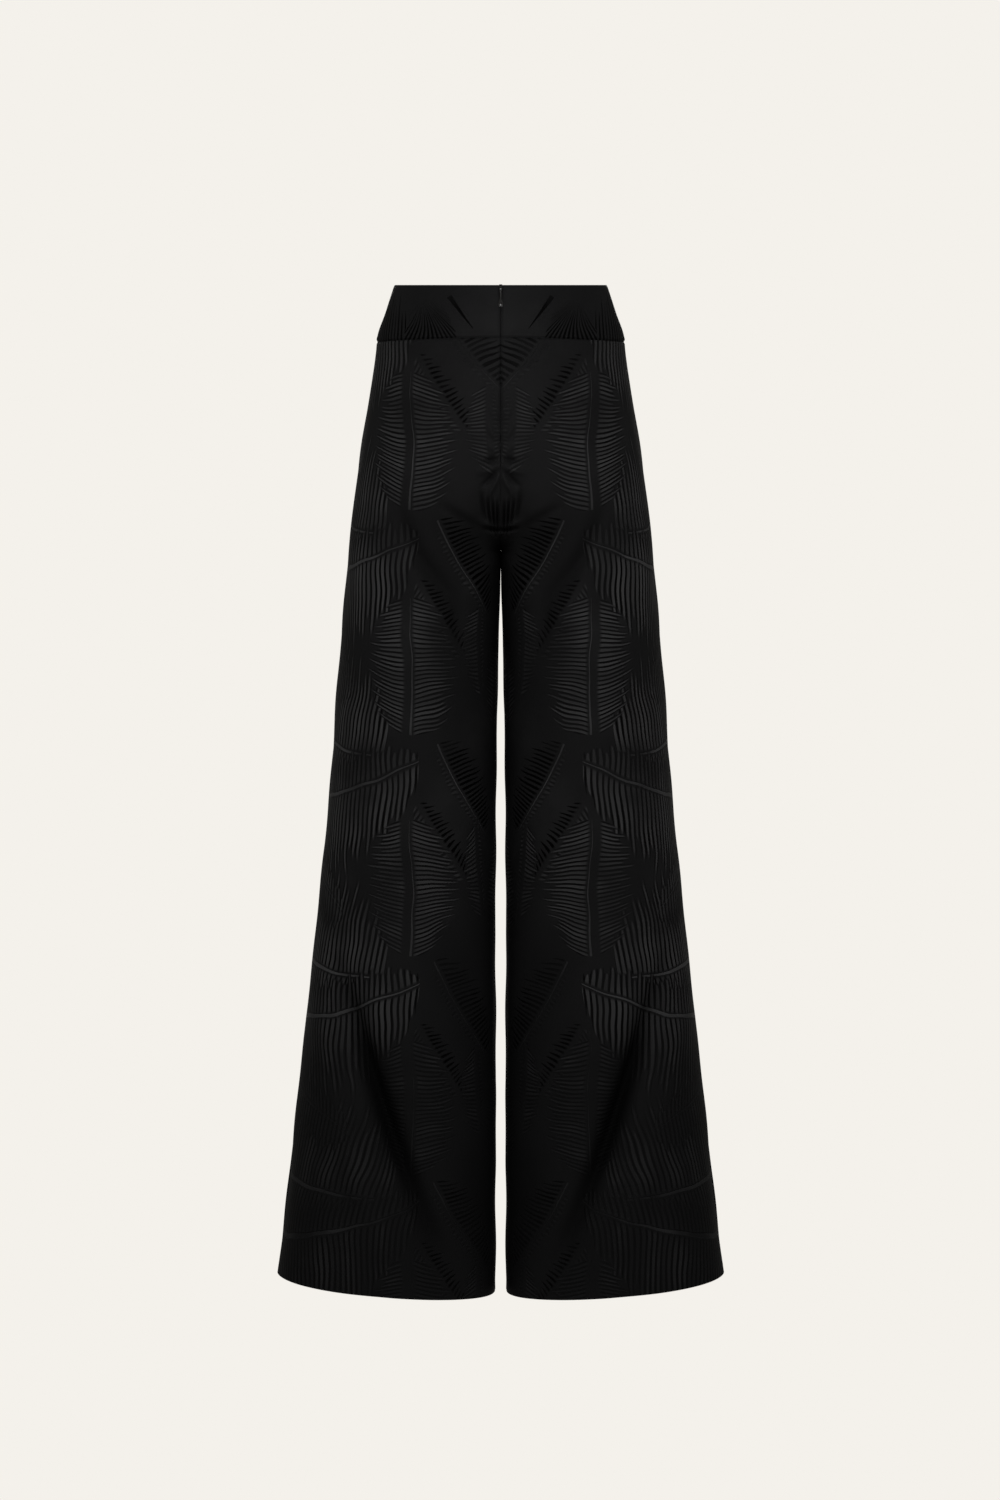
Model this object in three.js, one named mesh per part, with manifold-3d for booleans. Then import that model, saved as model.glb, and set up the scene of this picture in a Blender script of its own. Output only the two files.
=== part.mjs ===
// High-waisted palazzo trousers in black jacquard satin, hollow and filled out as they hang when worn.
// Millimetres, +Z up. The front faces -Y, the zip is at the back, and the wearer's left is +X.
// The origin is the centre of the waist opening, level with the waistband's top edge.
import * as THREE from "three";
import { mergeVertices } from "three/addons/utils/BufferGeometryUtils.js";
import Module from "manifold-3d";

// Cloth and seams
const SEAM_GAP = 0.3; // clear space between two pieces at a seam
const SATIN = 1.2; // wall of one layer of satin
const BAND_WALL = 2.4; // the waistband is two layers
const HEM_DEPTH = 28; // cloth turned up inside each leg
const BACK = 1;
const FRONT = -1;

// Heights of the seams, below the waistband's top edge
const BAND_DEPTH = 63; // at the side seams
const BAND_RISE_BACK = 6; // how much higher the waist seam is at the centre back than at the sides
const BAND_RISE_FRONT = 3;
const CROTCH_TOP = -200; // where the centre seams leave the body's outline and turn under
const CROTCH_Z = -294;
const HEM_Z = -1119;
const HEM_LIFT = 10.8; // the hem is this much higher at the outseam and lower at the inseam
const INSEAM_Y = -6;

// The body outline, one row for each height: half widths at the side seams, depths of the back and front
// from the side seams' plane, how much fuller than an ellipse the torso is, and half the space between the legs.
const SECTIONS = [
  { z: 0, side: 118, back: 83, front: 84, full: 0.02, gap: 0 },
  { z: -30, side: 128, back: 89.5, front: 88, full: 0.025, gap: 0 },
  { z: -58, side: 137.3, back: 97, front: 92, full: 0.035, gap: 0 },
  { z: -72, side: 138.4, back: 100.5, front: 93.5, full: 0.04, gap: 0 },
  { z: -130, side: 147.2, back: 112.5, front: 98, full: 0.08, gap: 0 },
  { z: -200, side: 158, back: 120, front: 101, full: 0.125, gap: 0 },
  { z: -294, side: 168.8, back: 125, front: 103, full: 0.15, gap: 0 },
  { z: -395, side: 178, back: 117, front: 102, full: 0.15, gap: 3.3 },
  { z: -575, side: 192.6, back: 110, front: 101, full: 0.15, gap: 6.6 },
  { z: -755, side: 211.4, back: 107, front: 100, full: 0.15, gap: 7.1 },
  { z: -936, side: 231.2, back: 105, front: 101, full: 0.15, gap: 7.3 },
  { z: -1130, side: 253.4, back: 104, front: 102, full: 0.15, gap: 7.3 },
];
const LEG_FULLNESS = 0.03; // how much fuller than an ellipse a leg is, at its diagonals
const SPLIT_TOP = -165; // at the side seam, the heights where the torso's outline starts and ends its change
const SPLIT_FOOT = -430; // to a leg's: at the centre seam they are CROTCH_TOP and CROTCH_Z
const CROTCH_SHAPE = { [BACK]: 1, [FRONT]: 1.35 }; // above 1, the centre seam turns under later
const CREASE_WIDTH = 0.25; // share of a panel beside the centre seam where that change is as sharp as the seam's

// Soft folds on each leg. across is 0 at the side seam and 1 at the centre seam or inseam, and a negative
// depth is a trough.
const FOLDS = [
  { face: BACK, across_top: 0.27, z_top: -735, across_foot: 0.66, z_foot: -1090, half_width: 20, depth: -9 },
  { face: BACK, across_top: 0.14, z_top: -760, across_foot: 0.45, z_foot: -1200, half_width: 34, depth: 4.5 },
  { face: BACK, across_top: 0.4, z_top: -690, across_foot: 0.82, z_foot: -1140, half_width: 30, depth: 4 },
  { face: BACK, across_top: 0.56, z_top: -215, across_foot: 0.68, z_foot: -430, half_width: 15, depth: -4 },
  { face: BACK, across_top: 0.36, z_top: -260, across_foot: 0.46, z_foot: -640, half_width: 32, depth: 3 },
  { face: FRONT, across_top: 0.52, z_top: -300, across_foot: 0.4, z_foot: -820, half_width: 22, depth: -4 },
  { face: FRONT, across_top: 0.3, z_top: -640, across_foot: 0.58, z_foot: -1180, half_width: 24, depth: -7 },
  { face: FRONT, across_top: 0.62, z_top: -560, across_foot: 0.78, z_foot: -1200, half_width: 26, depth: 4 },
  { face: FRONT, across_top: 0.9, z_top: -205, across_foot: 0.58, z_foot: -345, half_width: 12, depth: -3 },
];
const FOLD_FADE = 0.1; // share of the panel beside each seam over which the folds die out

// Zip: an invisible one at the centre back
const ZIP_FOOT = -193;
const SLIT_HALF = 0.4; // half the space between the zip's edges
const SLIT_HALF_AT_SLIDER = 0.85;
const TAPE_WIDTH = 12;
const TAPE_WALL = 0.7;
const TAPE_TOP = -1.2;
const TAPE_TAIL = -230;
const COIL_WIDTH = 2;
const COIL_WALL = 1.8;
const SLIDER = { width: 5, height: 8, plate: 1.1, neck: 1, neck_height: 4.4, saddle_width: 3.4, saddle: 0.8 };
const BAIL = { z: -3, radius: 1.9, hole: 1, thick: 1 };
const PULL = {
  length: 21.5, thick: 1, pin: 0.5, slot_width: 1.9, slot_length: 2.6, head_width: 3.5,
  neck_width: 2, drop_width: 5.2, drop_length: 9, boss_width: 2.4, boss_length: 5.6, boss_rise: 0.6,
};

// Grid of a leg panel
const ACROSS = 18;
const ROWS_SEAT = 6;
const ROWS_CROTCH = 6;
const ROWS_LEG = 28;
const LEG_SPREAD = 1.35; // above 1, the leg's rows lie closer together near the crotch
const ROWS_BAND = 4;

const smooth = (from, to, value) => THREE.MathUtils.smoothstep((value - from) / (to - from), 0, 1);

// One named column of the sections as a smooth function of height: cubic pieces with slopes limited so that
// the curve never overshoots a row.
function column(name) {
  const at = SECTIONS.map((row) => row.z);
  const value = SECTIONS.map((row) => row[name]);
  const slope = value.slice(1).map((v, i) => (v - value[i]) / (at[i + 1] - at[i]));
  const tangent = value.map((_, i) => {
    if (i === 0) return slope[0];
    if (i === value.length - 1) return slope[i - 1];
    return slope[i - 1] * slope[i] <= 0 ? 0 : (2 * slope[i - 1] * slope[i]) / (slope[i - 1] + slope[i]);
  });
  return (z) => {
    let i = 0;
    while (i < at.length - 2 && z < at[i + 1]) i += 1;
    const step = at[i + 1] - at[i];
    const t = THREE.MathUtils.clamp((z - at[i]) / step, 0, 1);
    const rise = 3 * t * t - 2 * t * t * t;
    return (
      value[i] * (1 - rise) +
      value[i + 1] * rise +
      step * (tangent[i] * (t - 2 * t * t + t ** 3) + tangent[i + 1] * (t ** 3 - t * t))
    );
  };
}
const sideAt = column("side");
const depthAt = { [BACK]: column("back"), [FRONT]: column("front") };
const fullnessAt = column("full");
const gapAt = column("gap");

// Half the space left between the left and right pieces at the centre seam
function centreHalf(face, z) {
  if (face === FRONT || z < ZIP_FOOT) return SEAM_GAP / 2;
  return THREE.MathUtils.lerp(SLIT_HALF, SLIT_HALF_AT_SLIDER, smooth(-15, -9, z));
}

// How far the section has gone from a torso's quarter outline, 0, to a leg's half ring, 1. Down the centre
// seam it follows a quarter circle that turns under level, and away from the seam it eases in and out.
function legShare(face, across, z) {
  const away = 1 - across;
  const toSide = smooth(0, 0.8, away);
  const top = THREE.MathUtils.lerp(CROTCH_TOP, SPLIT_TOP, toSide);
  const foot = THREE.MathUtils.lerp(CROTCH_Z, SPLIT_FOOT, toSide);
  const down = THREE.MathUtils.clamp((top - z) / (top - foot), 0, 1);
  const ease = smooth(0, CREASE_WIDTH, away);
  const start = THREE.MathUtils.lerp(2 * CROTCH_SHAPE[face], 3, ease);
  const end = THREE.MathUtils.lerp(0.5, 1.6, ease);
  return 1 - (1 - down ** start) ** end;
}

// A point of the left half's outline at one height, from the side seam (across 0) to the centre or inseam (1)
function outlinePoint(face, across, z, centre = centreHalf(face, z)) {
  const side = sideAt(z);
  const depth = depthAt[face](z);
  const quarter = (across * Math.PI) / 2;
  const torsoScale = 1 + fullnessAt(z) * Math.sin(2 * quarter) ** 2;
  const torsoX = centre + (side - centre) * Math.cos(quarter) * torsoScale;
  const torsoY = face * depth * Math.sin(quarter) * torsoScale;

  const half = across * Math.PI;
  const inner = centre + gapAt(z);
  const legScale = 1 + LEG_FULLNESS * Math.sin(2 * half) ** 2;
  const legX = (side + inner) / 2 + ((side - inner) / 2) * Math.cos(half) * legScale;
  const legY = face * depth * Math.sin(half) * legScale + (INSEAM_Y * (1 - Math.cos(half))) / 2;

  const share = legShare(face, across, z);
  return new THREE.Vector2(
    THREE.MathUtils.lerp(torsoX, legX, share),
    THREE.MathUtils.lerp(torsoY, legY, share),
  );
}

// The horizontal direction out of the cloth, from two points close beside this one
function outwards(face, across, z, centre) {
  const near = 0.004;
  const ahead = outlinePoint(face, Math.min(across + near, 1), z, centre);
  const along = ahead.sub(outlinePoint(face, Math.max(across - near, 0), z, centre)).normalize();
  return new THREE.Vector2(face * along.y, -face * along.x);
}

// How far the folds move the cloth out, in millimetres
function foldOffset(face, across, z) {
  const width = 1.6 * sideAt(z);
  const fade = smooth(0, FOLD_FADE, across) * smooth(1, 1 - FOLD_FADE, across);
  let sum = 0;
  for (const fold of FOLDS) {
    const down = (fold.z_top - z) / (fold.z_top - fold.z_foot);
    if (fold.face !== face || down <= 0 || down >= 1) continue;
    const middle = THREE.MathUtils.lerp(fold.across_top, fold.across_foot, down);
    const away = ((across - middle) * width) / fold.half_width;
    sum += fold.depth * Math.exp(-away * away) * Math.sin(Math.PI * down);
  }
  return sum * fade;
}

// A point of the cloth's outer face
function clothPoint(face, across, z, centre = undefined) {
  const outline = outlinePoint(face, across, z, centre);
  const out = outwards(face, across, z, centre).multiplyScalar(foldOffset(face, across, z));
  return new THREE.Vector3(outline.x + out.x, outline.y + out.y, z);
}

// The inner face of a sheet: each point moved in at right angles to the facets round it, by the sheet's
// thickness at its row. The seam edges move in straight, so that two pieces keep their gap.
function innerFace(face, outer, thickness) {
  const last = outer[0].length - 1;
  const at = (i, j) => outer[THREE.MathUtils.clamp(i, 0, outer.length - 1)][THREE.MathUtils.clamp(j, 0, last)];
  return outer.map((row, i) =>
    row.map((point, j) => {
      const across = at(i, j + 1).clone().sub(at(i, j - 1));
      const down = at(i + 1, j).clone().sub(at(i - 1, j));
      const out = new THREE.Vector3().crossVectors(down, across).multiplyScalar(face);
      if (point.x > 1 && (j === 0 || j === last)) out.y = 0;
      if (point.x <= 1 && point.z > CROTCH_TOP) out.x = 0;
      if (point.x <= 1 && point.z < CROTCH_Z) out.y = 0;
      return point.clone().addScaledVector(out.normalize(), -thickness(i));
    }),
  );
}

// The height of the waist seam, and of the hem's lift, across a panel
const waistSeam = (face, across) =>
  -BAND_DEPTH + (face === BACK ? BAND_RISE_BACK : BAND_RISE_FRONT) * smooth(0, 1, across);

function panelHeight(face, across, row) {
  const top = waistSeam(face, across) - SEAM_GAP / 2 + BAND_DEPTH;
  const lift = HEM_LIFT * Math.cos(across * Math.PI);
  return row + top * smooth(CROTCH_TOP, -BAND_DEPTH, row) + lift * ((row - CROTCH_Z) / (HEM_Z - CROTCH_Z)) ** 2
    * (row < CROTCH_Z ? 1 : 0);
}

// Nominal heights of a leg panel's rows: even down the seat, in equal turns round the crotch curve, spreading
// out down the leg, and two close together at the top of the turned-up hem
function panelRows() {
  const rows = [];
  for (let i = 0; i < ROWS_SEAT; i += 1) rows.push(THREE.MathUtils.lerp(-BAND_DEPTH, CROTCH_TOP, i / ROWS_SEAT));
  for (let i = 0; i < ROWS_CROTCH; i += 1) {
    rows.push(CROTCH_TOP + (CROTCH_Z - CROTCH_TOP) * Math.sin((i / ROWS_CROTCH) * (Math.PI / 2)));
  }
  const fold = HEM_Z + HEM_DEPTH;
  for (let i = 0; i <= ROWS_LEG; i += 1) {
    rows.push(THREE.MathUtils.lerp(CROTCH_Z, fold + 0.6, (i / ROWS_LEG) ** LEG_SPREAD));
  }
  return [...rows, fold, HEM_Z];
}

// The part of a panel's width between its seam gaps: evenly spaced shares from the side seam to the centre
function panelShares(z, count) {
  const trim = SEAM_GAP / 2 / (1.6 * sideAt(z));
  return Array.from({ length: count + 1 }, (_, j) => trim + ((1 - 2 * trim) * j) / count);
}

// A closed wall from two grids of points, outer[row][column] and inner[row][column]
function wall(outer, inner) {
  const rows = outer.length;
  const columns = outer[0].length;
  const points = [...outer.flat(), ...inner.flat()];
  const place = (layer, i, j) => layer * rows * columns + i * columns + j;
  const faces = [];
  const quad = (a, b, c, d) => faces.push([a, b, c], [a, c, d]);
  for (let i = 0; i < rows - 1; i += 1) {
    for (let j = 0; j < columns - 1; j += 1) {
      quad(place(0, i, j), place(0, i + 1, j), place(0, i + 1, j + 1), place(0, i, j + 1));
      quad(place(1, i, j), place(1, i, j + 1), place(1, i + 1, j + 1), place(1, i + 1, j));
    }
    quad(place(0, i, 0), place(1, i, 0), place(1, i + 1, 0), place(0, i + 1, 0));
    const last = columns - 1;
    quad(place(0, i, last), place(0, i + 1, last), place(1, i + 1, last), place(1, i, last));
  }
  for (let j = 0; j < columns - 1; j += 1) {
    quad(place(0, 0, j), place(0, 0, j + 1), place(1, 0, j + 1), place(1, 0, j));
    const last = rows - 1;
    quad(place(0, last, j), place(1, last, j), place(1, last, j + 1), place(0, last, j + 1));
  }
  const volume = faces.reduce(
    (sum, [a, b, c]) => sum + points[a].dot(new THREE.Vector3().crossVectors(points[b], points[c])),
    0,
  );
  const index = faces.flatMap(([a, b, c]) => (volume > 0 ? [a, b, c] : [a, c, b]));
  return new THREE.BufferGeometry().setFromPoints(points).setIndex(index);
}

const mirrored = (grid) => grid.map((row) => row.map((p) => new THREE.Vector3(-p.x, p.y, p.z)));

// The points of one leg panel's two faces, from the waist seam to the hem
function panelFaces(face) {
  const rows = panelRows();
  const thickness = (i) => (rows[i] <= HEM_Z + HEM_DEPTH ? 2 * SATIN : SATIN);
  const outer = rows.map((row) =>
    panelShares(row, ACROSS).map((across) => clothPoint(face, across, panelHeight(face, across, row))),
  );
  return [outer, innerFace(face, outer, thickness)];
}

const sewn = (faces, mirror) => (mirror ? wall(...faces.map(mirrored)) : wall(...faces));

// One row of heights of the waistband, at a share of its depth
const bandHeight = (face, across, share) => share * (waistSeam(face, across) + SEAM_GAP / 2);

// Half of the waistband: each back piece is one, and the front piece is two in one sheet
function bandFaces(face, centre = undefined) {
  const outer = Array.from({ length: ROWS_BAND + 1 }, (_, i) =>
    panelShares(0, ACROSS).map((across, j) => {
      const at = centre === 0 && j === ACROSS ? 1 : across;
      return clothPoint(face, at, bandHeight(face, at, i / ROWS_BAND), centre);
    }),
  );
  return [outer, innerFace(face, outer, () => BAND_WALL)];
}

function frontBand() {
  const whole = bandFaces(FRONT, 0).map((left) =>
    left.map((row, i) => [...row, ...mirrored(left)[i].reverse().slice(1)]),
  );
  return wall(...whole);
}

// The point so far along a row of points, starting at the row's centre end
function walkFromCentre(row, distance) {
  let left = distance;
  for (let j = row.length - 1; j > 0; j -= 1) {
    const step = row[j].distanceTo(row[j - 1]);
    if (left <= step || j === 1) return row[j].clone().lerp(row[j - 1], left / step);
    left -= step;
  }
  return row[0].clone();
}

// One zip tape: the centre strip of the back's inner face moved in, with the coil as a thicker edge
function zipTape(mirror) {
  const band = bandFaces(BACK)[1];
  const leg = panelFaces(BACK)[1];
  const top = band[0].map((point, j) => point.clone().lerp(band[1][j], TAPE_TOP / band[1][j].z));
  const seam = leg[0].map((point) => point.clone().setY(point.y - BAND_WALL + SATIN));
  const rows = [top, ...band.slice(1), seam, ...leg.slice(1, leg.findIndex((row) => row[0].z < TAPE_TAIL))];
  const columns = [
    { from_edge: 0, thick: COIL_WALL },
    { from_edge: COIL_WIDTH, thick: COIL_WALL },
    { from_edge: COIL_WIDTH + 0.5, thick: TAPE_WALL },
    { from_edge: TAPE_WIDTH / 2, thick: TAPE_WALL },
    { from_edge: TAPE_WIDTH, thick: TAPE_WALL },
  ];
  const faces = [0, 1].map((layer) =>
    rows.map((row) =>
      columns.map(({ from_edge, thick }) => {
        const point = walkFromCentre(row, from_edge);
        return point.setY(point.y - SEAM_GAP - 0.1 - layer * thick);
      }),
    ),
  );
  return sewn(faces, mirror);
}

const wasm = await Module();
wasm.setup();

// A geometry placed by a matrix, as a solid for joining and cutting
function solid(geometry, matrix = new THREE.Matrix4()) {
  const bare = (geometry.index ? geometry.toNonIndexed() : geometry.clone()).applyMatrix4(matrix);
  bare.deleteAttribute("normal");
  bare.deleteAttribute("uv");
  const merged = mergeVertices(bare, 1e-4);
  return new wasm.Manifold(
    new wasm.Mesh({
      numProp: 3,
      vertProperties: merged.attributes.position.array,
      triVerts: new Uint32Array(merged.index.array),
    }),
  );
}

function geometryOf(manifold) {
  const mesh = manifold.getMesh();
  return new THREE.BufferGeometry()
    .setAttribute("position", new THREE.BufferAttribute(mesh.vertProperties, 3))
    .setIndex(new THREE.BufferAttribute(mesh.triVerts, 1));
}

const move = (x, y, z) => new THREE.Matrix4().makeTranslation(x, y, z);
const lieAlongX = new THREE.Matrix4().makeRotationZ(Math.PI / 2);
const box = (width, depth, height, x, y, z) => solid(new THREE.BoxGeometry(width, depth, height), move(x, y, z));
const barAlongX = (radius, length, y, z, sides = 16) =>
  solid(new THREE.CylinderGeometry(radius, radius, length, sides), move(0, y, z).multiply(lieAlongX));

// The slider: a plate inside the coils, a neck through the slit, and outside a saddle with the bail on it
const clothY = clothPoint(BACK, 1, BAIL.z).y; // the band's outer face behind the bail
const saddleY = clothY + SEAM_GAP + SLIDER.saddle / 2 + 0.5;
const hingeY = saddleY + SLIDER.saddle / 2 + 1.2;

function zipSlider() {
  const plateY = clothPoint(BACK, 1, TAPE_TOP).y - BAND_WALL - COIL_WALL - 3 * SEAM_GAP - SLIDER.plate / 2;
  const plateZ = BAIL.z - SLIDER.height / 2 + 2.2;
  const neckFoot = plateY;
  const plate = box(SLIDER.width, SLIDER.plate, SLIDER.height, 0, plateY, plateZ);
  const neckLength = hingeY - neckFoot;
  const neck = box(SLIDER.neck, neckLength, SLIDER.neck_height, 0, neckFoot + neckLength / 2, BAIL.z);
  const saddle = box(SLIDER.saddle_width, SLIDER.saddle, 5.6, 0, saddleY, BAIL.z + 0.9);
  const bail = barAlongX(BAIL.radius, BAIL.thick, hingeY, BAIL.z, 20);
  const hole = barAlongX(BAIL.hole, 3 * BAIL.thick, hingeY, BAIL.z);
  return geometryOf(plate.add(neck).add(saddle).add(bail).subtract(hole));
}

// The pull tab, drawn hanging from its pin at the origin: a slotted head, a neck and a drop with a raised boss
function pullOutline() {
  const half = { head: PULL.head_width / 2, neck: PULL.neck_width / 2, drop: PULL.drop_width / 2 };
  const dropTop = -(PULL.length - PULL.drop_length);
  const dropMiddle = -(PULL.length - half.drop);
  const headFoot = -(PULL.slot_length + 1);
  const outline = new THREE.Shape();
  outline.moveTo(-half.head, 0.5);
  outline.lineTo(-half.head, headFoot);
  outline.quadraticCurveTo(-half.neck, headFoot - 0.8, -half.neck, headFoot - 2);
  outline.lineTo(-half.neck, dropTop);
  outline.quadraticCurveTo(-half.drop, dropMiddle + 3, -half.drop, dropMiddle);
  outline.absarc(0, dropMiddle, half.drop, Math.PI, 2 * Math.PI, false);
  outline.quadraticCurveTo(half.drop, dropMiddle + 3, half.neck, dropTop);
  outline.lineTo(half.neck, headFoot - 2);
  outline.quadraticCurveTo(half.neck, headFoot - 0.8, half.head, headFoot);
  outline.lineTo(half.head, 0.5);
  outline.closePath();
  const slot = new THREE.Path();
  slot.moveTo(-PULL.slot_width / 2, -PULL.slot_length);
  slot.lineTo(-PULL.slot_width / 2, -0.4);
  slot.lineTo(PULL.slot_width / 2, -0.4);
  slot.lineTo(PULL.slot_width / 2, -PULL.slot_length);
  slot.closePath();
  outline.holes.push(slot);
  return outline;
}

function zipPull() {
  const flat = new THREE.ExtrudeGeometry(pullOutline(), { depth: PULL.thick, bevelEnabled: false, curveSegments: 8 });
  const standUp = new THREE.Matrix4().makeRotationX(Math.PI / 2).premultiply(move(0, PULL.thick / 2, 0));
  const tab = solid(flat, standUp);
  const clear = PULL.slot_width;
  const mouth = box(clear, 3 * PULL.thick, 2.4, 0, 0, 0.4);
  const pin = barAlongX(PULL.pin, PULL.slot_width + 0.6, 0, 0, 12);
  const boss = solid(
    new THREE.SphereGeometry(1, 14, 10),
    move(0, PULL.thick / 2, -(PULL.length - 3.6)).scale(
      new THREE.Vector3(PULL.boss_width / 2, PULL.boss_rise, PULL.boss_length / 2),
    ),
  );
  return geometryOf(tab.subtract(mouth).add(pin).add(boss));
}

// The tab leans on the band, so it turns about its pin until its tip stands one seam gap clear of the cloth
const tipClothY = clothPoint(BACK, 1, BAIL.z - PULL.length).y;
const pullLean = Math.atan((tipClothY + SEAM_GAP + 0.1 + PULL.thick / 2 - hingeY) / PULL.length);

const satin = new THREE.MeshStandardMaterial({ color: 0x141414, roughness: 0.42, metalness: 0 });
const tapeCloth = new THREE.MeshStandardMaterial({ color: 0x0d0d0d, roughness: 0.8, metalness: 0 });
const blackMetal = new THREE.MeshStandardMaterial({ color: 0x1a1a1a, roughness: 0.25, metalness: 1 });

function piece(name, geometry, material) {
  const mesh = new THREE.Mesh(geometry, material.clone());
  mesh.name = name;
  geometry.computeVertexNormals();
  return mesh;
}

const trousers = new THREE.Group();
for (const [sideName, mirror] of [["left", false], ["right", true]]) {
  trousers.add(piece(`leg_back_${sideName}`, sewn(panelFaces(BACK), mirror), satin));
  trousers.add(piece(`leg_front_${sideName}`, sewn(panelFaces(FRONT), mirror), satin));
  trousers.add(piece(`waistband_back_${sideName}`, sewn(bandFaces(BACK), mirror), satin));
  trousers.add(piece(`zip_tape_${sideName}`, zipTape(mirror), tapeCloth));
}
trousers.add(piece("waistband_front", frontBand(), satin));
trousers.add(piece("zip_slider", zipSlider(), blackMetal));

const pullGroup = new THREE.Group();
pullGroup.position.set(0, hingeY, BAIL.z);
pullGroup.rotation.x = pullLean;
pullGroup.add(piece("zip_pull", zipPull(), blackMetal));
trousers.add(pullGroup);

export default trousers;
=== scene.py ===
"""High-waisted palazzo trousers in black palm-leaf jacquard satin, filled out as worn, seen from the back.

The front faces -Y, the zip is at the back, and the wearer's left is +X. Lengths are millimetres up to
mesh_object, which makes them metres, and metres in the pattern, the lights and the camera.
"""
import math

import bpy
import numpy as np
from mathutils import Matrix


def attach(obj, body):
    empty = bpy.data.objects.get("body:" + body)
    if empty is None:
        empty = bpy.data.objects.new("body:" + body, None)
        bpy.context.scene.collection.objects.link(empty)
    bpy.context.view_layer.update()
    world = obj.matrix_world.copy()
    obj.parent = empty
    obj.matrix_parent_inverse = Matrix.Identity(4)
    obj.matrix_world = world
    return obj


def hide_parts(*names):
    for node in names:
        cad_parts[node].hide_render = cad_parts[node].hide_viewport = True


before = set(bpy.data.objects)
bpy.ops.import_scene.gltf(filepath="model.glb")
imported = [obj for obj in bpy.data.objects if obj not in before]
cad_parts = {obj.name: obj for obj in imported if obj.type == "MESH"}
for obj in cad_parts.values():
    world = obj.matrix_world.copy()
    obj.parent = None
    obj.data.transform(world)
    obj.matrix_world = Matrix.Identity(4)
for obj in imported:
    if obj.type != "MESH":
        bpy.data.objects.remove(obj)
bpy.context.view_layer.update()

BACK, FRONT = 1.0, -1.0
SATIN = 1.2  # wall of the leg panels
BAND_WALL = 2.4  # wall of the waistband
HEM_DEPTH = 28.0  # how deep the hem is turned up
BAND_DEPTH = 63.0  # depth of the waistband at the side seams
BAND_RISE = {BACK: 6.0, FRONT: 3.0}  # how much the waist seam rises from there to the centre
CROTCH_TOP = -200.0  # height at which the centre seam starts to turn under
CROTCH_Z = -294.0  # height at which it meets the inseams
HEM_Z = -1119.0
HEM_LIFT = 10.8  # how much higher the hem is at the outseam, and lower at the inseam
INSEAM_Y = -6.0
LEG_FULLNESS = 0.03  # how much fuller than an ellipse a leg is
SPLIT_TOP = -165.0  # heights between which a panel goes from torso to leg, away from the centre seam
SPLIT_FOOT = -430.0
CROTCH_SHAPE = {BACK: 1.0, FRONT: 1.35}  # how late the centre seam turns under
CREASE_WIDTH = 0.25  # share of a panel that goes over from the centre seam's turn to the rest's
ZIP_FOOT = -193.0
SHUT_Z = ZIP_FOOT - 8  # below it the centre-back seam is shut
GRAIN = 97.0  # how far the panels' straight grain hangs from the middle plane
TAPE_ROWS = np.concatenate([np.linspace(-1.2, -55, 30), np.linspace(-58, -222, 84)])
TAPE_WIDTH, TAPE_WALL = 12.0, 0.55
MEET = 0.02  # how far a sewn rim goes past its seam, so that no light comes through
RIM_BULGE = 0.12  # how far a rim stands out, as a share of the wall
SPREAD = 1.6  # a panel's width over its half width at the side seam
QUARTER = 1.5708  # the same for a plain quarter turn
MIRROR = np.array([-1.0, 1.0, 1.0])
SEWN = 0.13  # half the space left between two sewn edges for their rounded rims

# Height, half width at the side seams, depth of the back, depth of the front, how much fuller than an ellipse
# the torso is, and half the space between the legs
SECTIONS = np.array([
    (0, 118, 83, 84, 0.02, 0),
    (-30, 128, 89.5, 88, 0.025, 0),
    (-58, 137.3, 97, 92, 0.035, 0),
    (-72, 138.4, 100.5, 93.5, 0.04, 0),
    (-130, 147.2, 112.5, 98, 0.08, 0),
    (-200, 158, 120, 101, 0.125, 0),
    (-294, 168.8, 125, 103, 0.15, 0),
    (-395, 178, 117, 102, 0.15, 2.2),
    (-575, 192.6, 110, 101, 0.15, 5.3),
    (-755, 211.4, 107, 100, 0.15, 5.7),
    (-936, 231.2, 105, 101, 0.15, 5.6),
    (-1130, 253.4, 104, 102, 0.15, 5.8),
])

# Folds that show from a step away: face, share of the panel's width and height at the top and at the foot,
# half width, depth
FOLDS = (
    (BACK, 0.27, -735, 0.66, -1090, 20, -9),
    (BACK, 0.14, -760, 0.45, -1200, 34, 4.5),
    (BACK, 0.40, -690, 0.82, -1140, 30, 4),
    (BACK, 0.56, -215, 0.68, -430, 15, -4),
    (BACK, 0.36, -260, 0.46, -640, 32, 3),
    (FRONT, 0.52, -300, 0.40, -820, 22, -4),
    (FRONT, 0.30, -640, 0.58, -1180, 24, -7),
    (FRONT, 0.62, -560, 0.78, -1200, 26, 4),
    (FRONT, 0.90, -205, 0.58, -345, 12, -3),
)

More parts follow.
